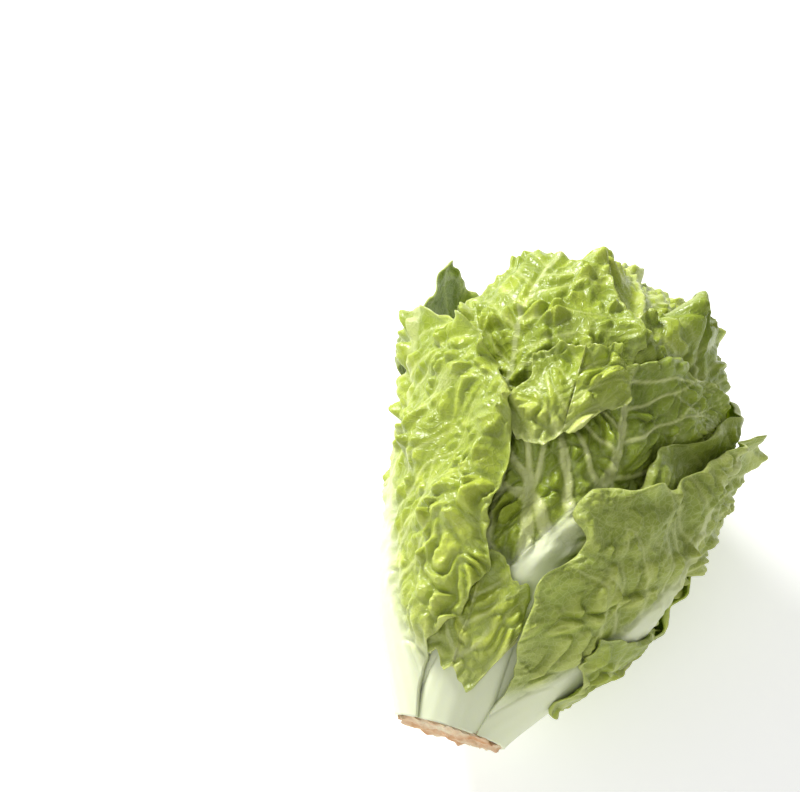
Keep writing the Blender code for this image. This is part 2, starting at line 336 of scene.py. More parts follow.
PLANS = (
    Plan(
        "under_leaf", "outer_leaf_under", Tier.OUTER, -3.0, ((0, 162), (40, 172), (100, 176)),
        ((0, 26, 25), (14, 28, 20), (34, 40, 30), (60, 62, 56), (85, 60, 40), (110, 44, 18)),
        ((-1, 92), (-0.5, 108), (0, 114), (0.5, 110), (1, 96)), seed=11, ruffle=1.0, blister=1.2,
    ),
    Plan(
        "under_leaf_wing", "outer_leaf_under", Tier.OUTER, -1.6, ((0, 112), (60, 108)),
        ((0, 50, 44), (20, 52, 46), (34, 52, 48), (60, 50, 50)),
        ((-1, 34), (-0.6, 40), (-0.2, 45), (0.3, 50), (1, 50)),
        bottom=((-1, 27), (-0.8, 21), (-0.62, 11), (-0.45, 14), (-0.2, 17), (0.2, 15), (1, 12)),
        grid=(130, 70), seed=12, rib=0.0, blister=3.2, cell=6.0, ruffle=1.7,
        tone=Tone(0.62, 0.1, 0.0),
    ),
    Plan(
        "back_left_leaf", "outer_leaf_back_left", Tier.OUTER, 0.0, ((0, -140), (60, -136), (125, -122)),
        ((0, 26, 29), (32, 30, 30), (60, 52, 26), (90, 52, 28), (112, 32, 34), (128, 24, 30)),
        ((-1, 100), (-0.5, 120), (0, 127), (0.5, 126), (1, 114)), seed=13,
        lifts=((0.0, 132, 1.3, 34, 17.0),), tone=Tone(0.9, 0.15),
    ),
    Plan(
        "right_leaf", "outer_leaf_right", Tier.OUTER, 0.0, ((0, 82), (60, 81), (112, 76)),
        ((0, 46, 45), (14, 48, 46), (26, 59, 48), (36, 65, 52), (53, 60, 56), (72, 59, 60), (84, 50, 58),
         (100, 44, 56), (115, 40, 50)),
        ((-1, 71), (-0.85, 76), (-0.68, 84), (-0.5, 82), (-0.3, 90), (-0.12, 100), (0.1, 105), (0.35, 107),
         (0.65, 104), (1, 92)),
        seed=14, lifts=((0.75, 112, 0.85, 26, 9.0), (-0.9, 42, 0.3, 14, 2.0)),
        blister=4.4, cell=7.2, rib=2.2, tone=Tone(0.4, 0.5, 18.0), grid=(170, 200),
    ),
    Plan(
        "left_leaf", "outer_leaf_left", Tier.OUTER, 2.4, ((0, -76), (60, -76), (112, -72)),
        ((0, 30, 42), (14, 30, 46), (25, 30, 58), (30, 32, 66), (42, 42, 71), (50, 46, 67), (64, 50, 66),
         (77, 50, 63), (86, 50, 62), (98, 42, 54), (112, 34, 46)),
        ((-1, 96), (-0.5, 108), (0, 113), (0.35, 114), (0.6, 112), (0.85, 105), (1, 92)),
        seed=15, lifts=((-0.15, 121, 0.55, 18, 13.0), (1.0, 66, 0.25, 40, 1.6)),
        blister=5.4, cell=7.6, rib=2.6, tone=Tone(0.34, 0.0, 24.0), grid=(190, 220),
    ),
    Plan(
        "low_fold", "outer_leaf_left", Tier.OUTER, 4.2, ((0, -6), (60, -10)),
        ((0, 27, 26), (12, 27, 26), (30, 29, 28), (60, 26, 26)),
        ((-1, 52), (-0.3, 50), (0.4, 46), (1, 40)),
        bottom=((-1, 20), (-0.3, 17), (0.2, 12), (0.45, 10.5), (0.7, 12), (0.9, 18), (1, 26)),
        grid=(70, 110), seed=16, rib=0.0, blister=3.6, cell=6.2, ruffle=1.4, tone=Tone(0.22, 0.0, 0.0),
    ),
    Plan(
        "lower_right_leaf", "lower_right_leaf", Tier.SECOND, 5.6, ((0, 118), (60, 110), (110, 104)),
        ((0, 54, 58), (16, 52, 58), (36, 60, 60), (60, 70, 66), (90, 62, 60), (112, 46, 44)),
        ((-1, 90), (-0.5, 110), (0, 118), (0.5, 112), (1, 92)), seed=17, tone=Tone(0.6, 0.2),
    ),
    Plan(
        "front_leaf", "front_leaf", Tier.SECOND, 7.4,
        ((0, 2), (40, 8), (60, 20), (74, 28), (108, 25), (135, 22)),
        ((0, 50, 48), (16, 50, 48), (36, 46, 56), (60, 44, 66), (80, 44, 70), (96, 34, 70), (115, 26, 70),
         (135, 24, 60)),
        ((-1, 90), (-0.6, 100), (-0.3, 107), (0, 113), (0.3, 121), (0.42, 118), (0.6, 126), (1, 120)),
        seed=18, rib=1.9, fan=2.2, blister=3.8, cell=6.2, grid=(200, 230),
        tone=Tone(0.75, 0.0, 44.0, 0.3, 0.75),
        lifts=((-0.55, 68, 0.45, 20, -4.0), (0.0, 6, 1.4, 22, 2.2)),
    ),
    Plan(
        "front_fold", "front_leaf", Tier.SECOND, 4.6, ((70, 6), (125, 4)),
        ((70, 21, 18), (95, 21, 18), (110, 19, 19), (125, 14, 16)),
        ((-1, 106), (-0.5, 111), (0, 113), (0.6, 114), (1, 111)),
        bottom=((-1, 85), (-0.6, 80), (-0.2, 82), (0.2, 86), (0.6, 92), (1, 100)),
        grid=(90, 90), seed=19, rib=0.0, blister=4.2, cell=7.2, ruffle=1.6, tone=Tone(0.45, 0.0, 0.0),
    ),
    Plan(
        "back_leaf", "back_leaf", Tier.SECOND, 9.6, ((0, -122), (60, -118), (110, -116)),
        ((0, 58, 60), (30, 60, 60), (60, 66, 66), (85, 58, 58), (104, 44, 42)),
        ((-1, 84), (-0.5, 98), (0, 106), (0.5, 100), (1, 86)), seed=20, tone=Tone(0.8, 0.1),
        grid=(100, 120),
    ),
    Plan(
        "crown_leaf_left", "crown_leaf_left", Tier.THIRD, 11.4, ((6, -40), (60, -30), (108, -26), (140, -30)),
        ((6, 52, 50), (50, 56, 54), (90, 54, 52), (115, 50, 48), (140, 44, 44)),
        ((-1, 126), (-0.5, 138), (0, 146), (0.5, 144), (0.8, 139), (1, 130)),
        bottom=straight(6), seed=21, rib=1.1, blister=5.2, cell=7.8, tone=Tone(0.52), grid=(170, 230),
        lifts=((-0.2, 148, 0.3, 14, 4.0),),
    ),
    Plan(
        "crown_leaf_right", "crown_leaf_right", Tier.THIRD, 14.0, ((6, 72), (60, 66), (140, 60)),
        ((6, 48, 48), (50, 56, 56), (90, 60, 60), (115, 54, 52), (140, 44, 40)),
        ((-1, 128), (-0.5, 138), (0, 142), (0.5, 138), (1, 120)),
        bottom=straight(6), seed=22, blister=4.4, cell=7.2, ruffle=2.8, tone=Tone(0.6), grid=(120, 180),
        lifts=((0.1, 148, 0.8, 18, 6.5),),
    ),
    Plan(
        "crown_leaf_under", "crown_leaf_under", Tier.THIRD, 16.6, ((6, -160), (60, -164), (140, -168)),
        ((6, 52, 50), (50, 60, 60), (90, 62, 62), (115, 54, 54), (140, 42, 42)),
        ((-1, 116), (-0.5, 134), (0, 142), (0.5, 136), (1, 118)),
        bottom=straight(6), seed=23, tone=Tone(0.6), grid=(110, 160),
    ),
    Plan(
        "inner_leaf_front", "inner_leaf_front", Tier.FOURTH, 18.0, ((11, 20), (80, 26), (165, 30)),
        ((11, 54, 54), (60, 62, 62), (95, 66, 66), (125, 60, 60), (165, 52, 52)),
        ((-1, 140), (-0.5, 160), (0, 172), (0.5, 162), (1, 138)),
        bottom=straight(11), seed=24, tone=Tone(0.3), grid=(140, 220),
        ruffle=2.4, blister=4.6, cell=7.2,
        lifts=((0.0, 165, 1.5, 45, 6.0),),
    ),
    Plan(
        "inner_leaf_right", "inner_leaf_right", Tier.FOURTH, 20.6, ((11, 140), (80, 134), (165, 128)),
        ((11, 54, 54), (60, 62, 62), (95, 64, 64), (125, 60, 60), (160, 50, 50)),
        ((-1, 126), (-0.5, 150), (0, 160), (0.5, 150), (1, 128)),
        bottom=straight(11), seed=25, tone=Tone(0.35), grid=(110, 170), ruffle=2.0,
    ),
    Plan(
        "inner_leaf_left", "inner_leaf_left", Tier.FOURTH, 23.0, ((11, -100), (80, -96), (165, -92)),
        ((11, 54, 54), (60, 62, 62), (95, 64, 64), (125, 60, 60), (160, 50, 50)),
        ((-1, 126), (-0.5, 148), (0, 158), (0.5, 150), (1, 128)),
        bottom=straight(11), seed=26, tone=Tone(0.35), grid=(110, 170), ruffle=2.0,
    ),
    *(
        Plan(
            f"heart_leaf_{number}", f"heart_leaf_{number}", tier, level,
            ((foot, azimuth), (165, azimuth + 4)),
            ((foot, 50, 50), (60, 66, 66), (100, 66, 66), (150, 46, 46)),
            ((-1, tip - 34), (-0.5, tip - 10), (0, tip), (0.5, tip - 8), (1, tip - 32)),
            bottom=straight(foot), seed=30 + number, grid=(56, 90), blister=1.2, tone=Tone(0.1),
        )
        for number, tier, foot, level, azimuth, tip in (
            (1, Tier.FIFTH, 16, 25.6, 80, 158),
            (2, Tier.FIFTH, 16, 27.8, -160, 154),
            (3, Tier.FIFTH, 16, 30.0, -40, 152),
            (4, Tier.SIXTH, 22, 32.0, 20, 148),
            (5, Tier.SIXTH, 22, 34.0, 140, 144),
            (6, Tier.SIXTH, 22, 36.0, -100, 140),
        )
    ),
)


# ---------------------------------------------------------------- veins and relief


@dataclass
class VeinNetwork:
    """Side ribs of a leaf on its flat map, as points with a width each."""

    plan: Plan
    reach: float
    length: float
    first_at: float = 16.0
    last_before_tip: float = 6.0
    gaps: tuple = (7.0, 11.0)
    foot_angle: float = 34.0
    angle_gain: float = 26.0
    foot_size: float = 2.3
    size_loss: float = 1.3
    least_size: float = 0.45
    step: float = 0.8
    points: list = field(default_factory=list)
    widths: list = field(default_factory=list)

    def grow(self) -> kdtree.KDTree:
        """Grows the side ribs on both sides of the midrib.

        Returns:
            The ribs' points as a tree to search.
        """
        random = np.random.default_rng(self.plan.seed)
        for side in (-1.0, 1.0):
            y = self.first_at + random.uniform(0.0, 6.0)
            while y < self.length - self.last_before_tip:
                share = y / self.length
                angle = math.radians(self.foot_angle + self.angle_gain * share + random.uniform(-7.0, 7.0))
                near_foot = float(1.0 - smooth(0.35, 0.7, share))
                size = (self.foot_size - self.size_loss * share) * (1.0 + (self.plan.fan - 1.0) * near_foot)
                self._branch(0.0, y, side, angle, self.reach, size, random, 2)
                y += random.uniform(*self.gaps)
        tree = kdtree.KDTree(len(self.points))
        for index, point in enumerate(self.points):
            tree.insert((*point, 0.0), index)
        tree.balance()
        return tree

    def _branch(self, x: float, y: float, side: float, angle: float, reach: float, size: float,
                random: np.random.Generator, forks: int) -> None:
        """Adds one rib and its forks.

        Args:
            x: Where it starts, across the leaf.
            y: Where it starts, along the leaf.
            side: -1 to the left of the midrib, 1 to the right.
            angle: Angle from the midrib, in radians.
            reach: Its length.
            size: Its width at the start.
            random: Source of the random draws.
            forks: How many times it may fork.
        """
        bend = random.uniform(-0.010, 0.004)
        steps = int(reach / self.step)
        fork_at = {int(steps * random.uniform(0.25, 0.7)) for _ in range(forks)}
        for step in range(steps):
            self.points.append((x, y))
            self.widths.append(max(self.least_size, size * (1.0 - step / steps) ** 0.8))
            angle += bend + 0.05 * math.sin(step * 0.35 + reach)
            x += side * self.step * math.sin(angle)
            y += self.step * math.cos(angle)
            if step in fork_at and forks:
                turn = random.choice((-1.0, 1.0)) * random.uniform(0.35, 0.6)
                self._branch(x, y, side, angle + turn, reach * 0.5, size * 0.6, random, forks - 1)


@dataclass
class CellNet:
    """The blisters of a leaf's flat map: a jittered grid of cells with a crease between each two."""

    plan: Plan
    across: float
    length: float
    jitter: float = 0.42
    warp: float = 1.6
    warp_length: float = 14.0
    slant: float = 0.45

    def sample(self, x: np.ndarray, y: np.ndarray) -> tuple:
        """Reads the cells at points of the flat map.

        Args:
            x: Places across the leaf.
            y: Places along the leaf.

        Returns:
            The distance to the nearest crease, and how far the cell there swells, from 0.25 to 1.
        """
        plan = self.plan
        random = np.random.default_rng(plan.seed + 5)
        wide = math.ceil(self.across / plan.cell) + 2
        tall = math.ceil(self.length / plan.cell) + 2
        cells = kdtree.KDTree(2 * wide * tall)
        for index, (i, j) in enumerate((i, j) for i in range(-wide, wide) for j in range(tall)):
            jitter = random.uniform(-self.jitter, self.jitter, 2)
            column, row = i + jitter[0] + 0.5 * (j % 2), j + jitter[1]
            cells.insert((column * plan.cell, row * plan.cell, 0.0), index)
        cells.balance()
        swell = random.uniform(0.25, 1.0, 2 * wide * tall)
        warp_x = x + self.warp * waves(x, y, self.warp_length, plan.seed + 2)
        warp_y = y + self.warp * waves(x, y, self.warp_length, plan.seed + 3) - self.slant * np.abs(x)
        crease, lift = np.empty(x.size), np.empty(x.size)
        for k, (px, py) in enumerate(zip(warp_x.flat, warp_y.flat)):
            (_, first, d1), (_, _, d2) = cells.find_n((px, py, 0.0), 2)
            crease[k], lift[k] = (d2 - d1) * 0.5, swell[first]
        return crease.reshape(x.shape), lift.reshape(x.shape)


@dataclass(frozen=True)
class ReliefSizes:
    """Sizes that the relief of all leaves shares."""

    midrib_tip: float = 0.7  # half-width at the tip, for a rib of strength 1
    midrib_foot: float = 6.0  # what the foot adds to it
    midrib_height: float = 0.33  # share of the half-width
    rib_width: float = 0.62  # half-width of a side rib of size 1
    rib_height: float = 0.28
    fan_height: float = 0.5  # the same on a leaf with a strong fan of ribs
    crease: float = 0.18  # share of a cell over which a blister falls to its crease
    crumple: float = 0.07  # share of the blisters' height
    crumple_length: float = 4.6
    swell: float = 1.5
    swell_length: float = 27.0
    frill_fades: float = 5.5  # distance from the margin
    frill_length: float = 15.0
    nip: float = 0.22  # small frills, as a share of the large ones
    nip_fades: float = 2.5
    nip_length: float = 6.5
    pale_edge: float = 1.1
    net_width: float = 0.4


@dataclass
class Relief:
    """What stands out of a leaf's sheet, and the masks that colour it; the cell mask also places painted
    shade in the creases between blisters.
    """

    height: np.ndarray
    green: np.ndarray
    vein: np.ndarray
    cell: np.ndarray
    edge: np.ndarray


@dataclass
class LeafBlade:
    """One leaf: lays out the sheet, gives it relief, drapes it and writes its mesh."""

    plan: Plan
    shape: HeadShape
    sizes: ReliefSizes = ReliefSizes()
    thickness: float = 0.62
    foot_thickening: float = 1.6
    gap: float = 0.25
    table_gap: float = 0.02
    table_gap_per_level: float = 0.05
    uneven: float = 1.6
    bump_length: float = 22.0
    nick_length: float = 7.0
    depth: np.ndarray | None = None
    relief: Relief | None = None

    def half_width(self, arc: np.ndarray, right: np.ndarray) -> np.ndarray:
        """Half-width on one side, with an uneven margin.

        Args:
            arc: Lengths along the midrib.
            right: True where the right side is meant.

        Returns:
            Angles in radians.
        """
        plain = np.where(right, along(self.plan.sides, arc, 2), along(self.plan.sides, arc, 1))
        side = np.where(right, 40.0, 0.0)
        bumps = waves(arc, side, self.bump_length, self.plan.seed + 50)
        nicks = waves(arc, side, self.nick_length, self.plan.seed + 51)
        return np.radians(plain + self.uneven * (bumps + 0.22 * nicks) * smooth(12.0, 40.0, arc))

    def end(self, points: Points, u: np.ndarray, seed: int) -> np.ndarray:
        """Length at which the sheet ends, uneven unless its rows say a straight line.

        Args:
            points: The plan's top or bottom rows.
            u: Shares of the half-width, from -1 to 1.
            seed: Start of the random draws.

        Returns:
            Lengths along the midrib.
        """
        if len(points) == 2:
            return along(points, u)
        across = u * 50.0
        bumps = waves(across, 0.0 * u, self.bump_length, seed)
        return along(points, u) + (bumps + 0.25 * waves(across, 0.0 * u, self.nick_length, seed + 1))

    def layout(self) -> tuple:
        """Lays the sheet's grid over the head.

        Returns:
            Shares across and up, midrib azimuths, lateral angles, lengths, and the two ends' lengths.
        """
        across, up = self.plan.grid
        u, v = np.meshgrid(np.linspace(-1.0, 1.0, across + 1), np.linspace(0.0, 1.0, up + 1))
        low = self.end(self.plan.bottom, u, self.plan.seed + 60)
        high = self.end(self.plan.top, u, self.plan.seed + 70)
        arc = low + (high - low) * v
        lateral = u * self.half_width(arc, u >= 0.0)
        azimuth = np.radians(along(self.plan.azimuth, arc))
        return u, v, azimuth, lateral, arc, low, high

    def own_depth(self, arc: np.ndarray) -> np.ndarray:
        """Depth before relief: the sheet leaves the stem and reaches its level.

        Args:
            arc: Lengths along the midrib.

        Returns:
            Depths under the head's outline.
        """
        shape, ring = self.shape, self.plan.tier.value
        turn = np.maximum(0.0, (arc - shape.belly_at) / shape.dome_arc)
        s = np.where(arc <= shape.belly_at, arc, shape.belly_at + shape.dome_height * np.sin(turn))
        above = self.plan.level - ring.crown_shift * smooth(shape.crown_from, shape.crown_to, s)
        rise = shape.radius if ring.follows_outline else (lambda value: np.asarray(value, float))
        share = (rise(s) - rise(ring.foot_at)) / (rise(shape.fan_ends_at) - rise(ring.foot_at))
        radius_above = shape.radius(shape.fan_ends_at) - self.plan.level
        radius = ring.foot_radius + (radius_above - ring.foot_radius) * np.clip(share, 0.0, 1.0)
        return np.where(s >= shape.fan_ends_at, above, shape.radius(np.minimum(s, shape.belly_at)) - radius)

    def carve(self, u: np.ndarray, lateral: np.ndarray, arc: np.ndarray, low: np.ndarray,
              high: np.ndarray) -> Relief:
        """Works out ribs, blisters and frills on the leaf's flat map.

        Args:
            u: Shares of the half-width, from -1 to 1.
            lateral: Angles to the right of the midrib.
            arc: Lengths along the midrib.
            low: Length at which each column starts.
            high: Length at which each column ends.

        Returns:
            The height of the relief and its masks, one value for each point.
        """
        plan, sizes = self.plan, self.sizes
        radius = self.shape.radius(arc)
        x, y = lateral * radius, arc
        width = self.half_width(arc, u >= 0.0) * radius
        border = np.minimum((1.0 - np.abs(u)) * width, (high - arc) * 0.9)
        if len(plan.bottom) > 2:
            border = np.minimum(border, (arc - low) * 0.9)
        length = float(high.max())
        near, size = self._side_ribs(x, y, float(width.max()) * 1.25, length)
        crease, lift = CellNet(plan, float(np.abs(x).max()), length).sample(x, y)
        has_rib = plan.rib > 0.0

        to_foot = (1.0 - smooth(0.0, 0.95 * length, y)) ** 1.5
        mid_width = plan.rib * (sizes.midrib_tip + sizes.midrib_foot * to_foot)
        off_mid = np.abs(x) / np.maximum(mid_width, 0.01)
        white_to = plan.tone.white_to
        foot = 1.0 - smooth(white_to * 0.55, white_to * 1.5 + 0.1, y + 0.35 * np.abs(x))
        rib_green = np.maximum(smooth(0.5, 1.5, off_mid), 0.95 * smooth(0.3 * length, 0.66 * length, y))
        green = (1.0 - foot) * rib_green if has_rib else 1.0 - foot
        blade = green * smooth(0.0, 2.5, border + 1.2)
        clear = smooth(0.55, 1.1, off_mid) if has_rib else 1.0
        beside = 1.0 - 0.8 * np.exp(-((near / (0.9 + 0.5 * size)) ** 2))
        pillow = 1.0 - np.exp(-((crease / (sizes.crease * plan.cell)) ** 2))

        uneven = 0.75 + 0.35 * waves(x, y, 20.0, plan.seed + 4)
        height = plan.blister * lift * pillow * beside * blade * uneven
        crumple = np.abs(waves(x, y, sizes.crumple_length, plan.seed + 8, 14))
        height += sizes.crumple * plan.blister * crumple * blade * beside
        rib_height = sizes.fan_height if plan.fan > 1.0 else sizes.rib_height
        round_rib = np.sqrt(np.clip(1.0 - (near / (sizes.rib_width * size)) ** 2, 0.0, 1.0))
        height += rib_height * size * round_rib * (1.0 - 0.7 * foot) * clear
        if has_rib:
            ridge = np.sqrt(np.clip(1.0 - off_mid**2, 0.0, 1.0))
            height += sizes.midrib_height * mid_width * ridge * (0.35 + 0.65 * smooth(10.0, 45.0, y))
            height += 0.05 * np.cos(x * 1.3 + 0.7 * waves(x, y, 30.0, plan.seed + 9)) * foot
        swell = waves(x, y, sizes.swell_length, plan.seed + 6)
        height += sizes.swell * swell * blade * smooth(0.8, 3.0, off_mid)
        height += self._frills(x, y, border) * green
        for share, at, wide_share, tall_at, rise in plan.lifts:
            height += rise * np.exp(-(((u - share) / wide_share) ** 2) - ((arc - at) / tall_at) ** 2)

        on_rib = np.exp(-((near / (0.52 * size)) ** 4)) * clear
        in_crease = np.exp(-((crease / sizes.net_width) ** 2)) * blade
        vein = np.clip(on_rib * (0.45 + 0.4 * size) + 0.22 * in_crease, 0.0, 1.0)
        if has_rib:
            vein = np.maximum(vein, 1.0 - smooth(0.6, 1.15, off_mid))
        # cell mask: low in the creases and in cells that swell little; the finish paints shade there
        cell = np.clip(pillow * lift, 0.0, 1.0)
        return Relief(height, green, vein, cell, np.exp(-border / sizes.pale_edge))

    def _frills(self, x: np.ndarray, y: np.ndarray, border: np.ndarray) -> np.ndarray:
        """Height of the ruffled margin.

        Args:
            x: Places across the leaf.
            y: Places along the leaf.
            border: Distances to the margin.

        Returns:
            The height at each point.
        """
        plan, sizes = self.plan, self.sizes
        large = np.exp(-border / sizes.frill_fades) * (0.3 + waves(x, y, sizes.frill_length, plan.seed + 7))
        small = np.exp(-border / sizes.nip_fades) * waves(x, y, sizes.nip_length, plan.seed + 10)
        return plan.ruffle * (large + sizes.nip * small)

    def _side_ribs(self, x: np.ndarray, y: np.ndarray, reach: float, length: float) -> tuple:
        """Finds the side rib nearest to each point.

        Args:
            x: Places across the leaf.
            y: Places along the leaf.
            reach: Length of the longest side rib.
            length: Length of the leaf.

        Returns:
            The distance to the rib and the rib's width there.
        """
        network = VeinNetwork(self.plan, reach, length)
        tree = network.grow()
        near, size = np.empty(x.size), np.empty(x.size)
        for k, (px, py) in enumerate(zip(x.flat, y.flat)):
            _, index, near[k] = tree.find((px, py, 0.0))
            size[k] = network.widths[index]
        return near.reshape(x.shape), size.reshape(x.shape)

    def lookup(self, direction: np.ndarray, arc: np.ndarray) -> np.ndarray:
        """Depth of this leaf's outer face at places of the head.

        Args:
            direction: Rows of right, axial and up on the unit sphere; axial is 0 on the trunk.
            arc: Length from the cut on the trunk.

        Returns:
            The depths, or OFF_LEAF where the leaf doesn't reach.
        """
        shape, plan = self.shape, self.plan
        right, axial, up = np.moveaxis(direction, -1, 0)
        trunk = arc < shape.belly_at
        here = np.where(trunk, arc, shape.belly_at)
        for _ in range(3):
            azimuth = np.radians(along(plan.azimuth, here))
            out = right * np.sin(azimuth) + up * np.cos(azimuth)
            side = right * np.cos(azimuth) - up * np.sin(azimuth)
            turn = np.arctan2(axial, out)
            here = np.where(trunk, arc, shape.belly_at + shape.dome_arc * turn)
        lateral = np.where(trunk, np.arctan2(side, out), np.arcsin(np.clip(side, -1.0, 1.0)))
        u = lateral / self.half_width(here, lateral >= 0.0)
        inside = np.abs(u) <= 1.0
        u = np.clip(u, -1.0, 1.0)
        low = self.end(plan.bottom, u, plan.seed + 60)
        high = self.end(plan.top, u, plan.seed + 70)
        v = (here - low) / (high - low)
        inside &= (v >= 0.0) & (v <= 1.0) & (here > -5.0)
        rows, columns = self.depth.shape
        gx, gy = (u + 1.0) / 2.0 * (columns - 1), np.clip(v, 0.0, 1.0) * (rows - 1)
        ix, iy = np.minimum(gx.astype(int), columns - 2), np.minimum(gy.astype(int), rows - 2)
        fx, fy = gx - ix, gy - iy
        d = self.depth
        top = d[iy, ix] * (1 - fx) + d[iy, ix + 1] * fx
        bottom = d[iy + 1, ix] * (1 - fx) + d[iy + 1, ix + 1] * fx
        return np.where(inside, top * (1 - fy) + bottom * fy, OFF_LEAF)

    def drape(self, inner: list) -> None:
        """Sets the sheet's depth so that it lies on the leaves inside it.

        Args:
            inner: The leaves already draped, from the heart out.
        """
        u, _, azimuth, lateral, arc, low, high = self.layout()
        self.relief = self.carve(u, lateral, arc, low, high)
        depth = self.own_depth(arc) - self.relief.height
        direction = self.shape.direction(azimuth, lateral, arc)
        floor = np.full(arc.shape, OFF_LEAF)
        for leaf in inner:
            floor = np.minimum(floor, leaf.lookup(direction, arc))
        push = np.maximum(0.0, depth - (floor - self.thickness - self.gap))
        push = np.where(floor >= OFF_LEAF, 0.0, push)
        push = spread(spread(spread(push, 3, largest=True), 3), 2)
        self.depth = depth - push

    def build(self, offset: np.ndarray) -> bpy.types.Object:
        """Writes the draped sheet as a closed mesh with its masks as attributes.

        Args:
            offset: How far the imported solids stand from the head's own frame.

        Returns:
            The leaf's object, without its finish.
        """
        _, v, azimuth, lateral, arc, _, _ = self.layout()
        thickness = self.thickness * (1.0 + self.foot_thickening * (1.0 - self.relief.green))
        face = self.shape.placed(azimuth, lateral, arc, self.depth)
        back = self.shape.placed(azimuth, lateral, arc, self.depth + thickness)
        points = np.concatenate((face.reshape(-1, 3), back.reshape(-1, 3))) + offset
        above_outermost = max(0.0, self.plan.level - self.shape.outermost)
        points[:, 2] = np.maximum(points[:, 2], self.table_gap + self.table_gap_per_level * above_outermost)
        rows, columns = arc.shape
        index = np.arange(rows * columns).reshape(rows, columns)
        a, b, c, d = index[:-1, :-1], index[:-1, 1:], index[1:, 1:], index[1:, :-1]
        front = np.stack((a, b, c, d), -1).reshape(-1, 4)
        behind = front[:, ::-1] + rows * columns
        ring = np.concatenate((index[0, :], index[1:, -1], index[-1, -2::-1], index[-2:0:-1, 0]))
        after = np.roll(ring, -1)
        rim = np.stack((after, ring, ring + rows * columns, after + rows * columns), -1)
        quads = np.concatenate((front, behind, rim))
        mesh = bpy.data.meshes.new(self.plan.name)
        mesh.vertices.add(len(points))
        mesh.vertices.foreach_set("co", (points * MM).astype(np.float32).ravel())
        mesh.loops.add(quads.size)
        mesh.loops.foreach_set("vertex_index", quads.astype(np.int32).ravel())
        mesh.polygons.add(len(quads))
        mesh.polygons.foreach_set("loop_start", np.arange(0, quads.size, 4, dtype=np.int32))
        mesh.update(calc_edges=True)
        mesh.shade_smooth()
        masks = {
            "green": self.relief.green, "vein": self.relief.vein, "cell": self.relief.cell,
            "edge": self.relief.edge, "along": v,
        }
        for name, values in masks.items():
            attribute = mesh.attributes.new(name, "FLOAT", "POINT")
            attribute.data.foreach_set("value", np.tile(values.ravel(), 2).astype(np.float32))
        obj = bpy.data.objects.new(self.plan.name, mesh)
        bpy.context.scene.collection.objects.link(obj)
        return obj

    def dress(self, obj: bpy.types.Object) -> None:
        """Gives the leaf its finish and its place in the part.

        Args:
            obj: The leaf's object.
        """
        obj.data.materials.append(LeafFinish(f"{self.plan.name}_skin", tone=self.plan.tone).make())
        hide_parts(self.plan.node)
        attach(obj, "root")


# ---------------------------------------------------------------- shader maths


class Socket:
    """A node's output that adds, multiplies and mixes into further nodes."""

    def __init__(self, finish: Finish, out: bpy.types.NodeSocket) -> None:
        """Keeps the output and the finish it belongs to."""
        self.finish, self.out = finish, out

    def _math(self, operation: str, *values: object) -> Socket:
        """Adds one Math node."""
        return self.finish.node("ShaderNodeMath", {"operation": operation}, dict(enumerate(values)))

    def __add__(self, other: object) -> Socket:
        """Adds a number or an output."""
        return self._math("ADD", self, other)

    def __mul__(self, other: object) -> Socket:
        """Multiplies by a number or an output."""
        return self._math("MULTIPLY", self, other)

    def __sub__(self, other: object) -> Socket:
        """Takes a number or an output away."""
        return self._math("SUBTRACT", self, other)

    def __rsub__(self, other: object) -> Socket:
        """Takes this output away from a number."""
        return self._math("SUBTRACT", other, self)

    __radd__ = __add__
    __rmul__ = __mul__

    def clamp(self) -> Socket:
        """The value held between 0 and 1."""
        return self._math("MINIMUM", self._math("MAXIMUM", self, 0.0), 1.0)


@dataclass
class Finish:
    """A material whose nodes are added one by one."""

    name: str
    material: bpy.types.Material | None = None

    def start(self) -> bpy.types.ShaderNodeBsdfPrincipled:
        """Makes the material.

        Returns:
            Its Principled shader, still at its defaults.
        """
        self.material = bpy.data.materials.new(self.name)
        self.material.use_nodes = True
        return self.material.node_tree.nodes["Principled BSDF"]

    def node(self, kind: str, settings: dict, inputs: dict, out: object = 0) -> Socket:
        """Adds a node and sets it up.

        Args:
            kind: The node's type.
            settings: Its properties, set first.
            inputs: Values or outputs for its sockets, by name or number.
            out: Which output is wanted.

        Returns:
            The wanted output.
        """
        tree = self.material.node_tree
        made = tree.nodes.new(kind)
        for key, value in settings.items():
            setattr(made, key, value)
        for key, value in inputs.items():
            if isinstance(value, Socket):
                tree.links.new(value.out, made.inputs[key])
            else:
                made.inputs[key].default_value = value
        return Socket(self, made.outputs[out])

    def mask(self, name: str) -> Socket:
        """A mask stored on the mesh."""
        return self.node("ShaderNodeAttribute", {"attribute_name": name}, {}, "Fac")

    def place(self) -> Socket:
        """The point in the object's own coordinates."""
        return self.node("ShaderNodeTexCoord", {}, {}, "Object")

    def noise(self, scale: float, detail: float = 3.0, rough: float = 0.5) -> Socket:
        """A cloudy pattern from 0 to 1."""
        return self.node("ShaderNodeTexNoise", {}, {
            "Vector": self.place(), "Scale": scale, "Detail": detail, "Roughness": rough}, "Fac")

    def mix(self, share: object, first: object, second: object) -> Socket:
        """A colour between two colours.

        Args:
            share: 0 for the first colour, 1 for the second.
            first: A colour or an output.
            second: A colour or an output.

        Returns:
            The mixed colour.
        """
        colours = [c if isinstance(c, Socket) else (*c, 1.0) for c in (first, second)]
        return self.node("ShaderNodeMix", {"data_type": "RGBA", "clamp_factor": True}, {
            0: share, 6: colours[0], 7: colours[1]}, 2)

    def link(self, value: Socket, shader: bpy.types.Node, name: str) -> None:
        """Joins an output to the shader."""
        self.material.node_tree.links.new(value.out, shader.inputs[name])


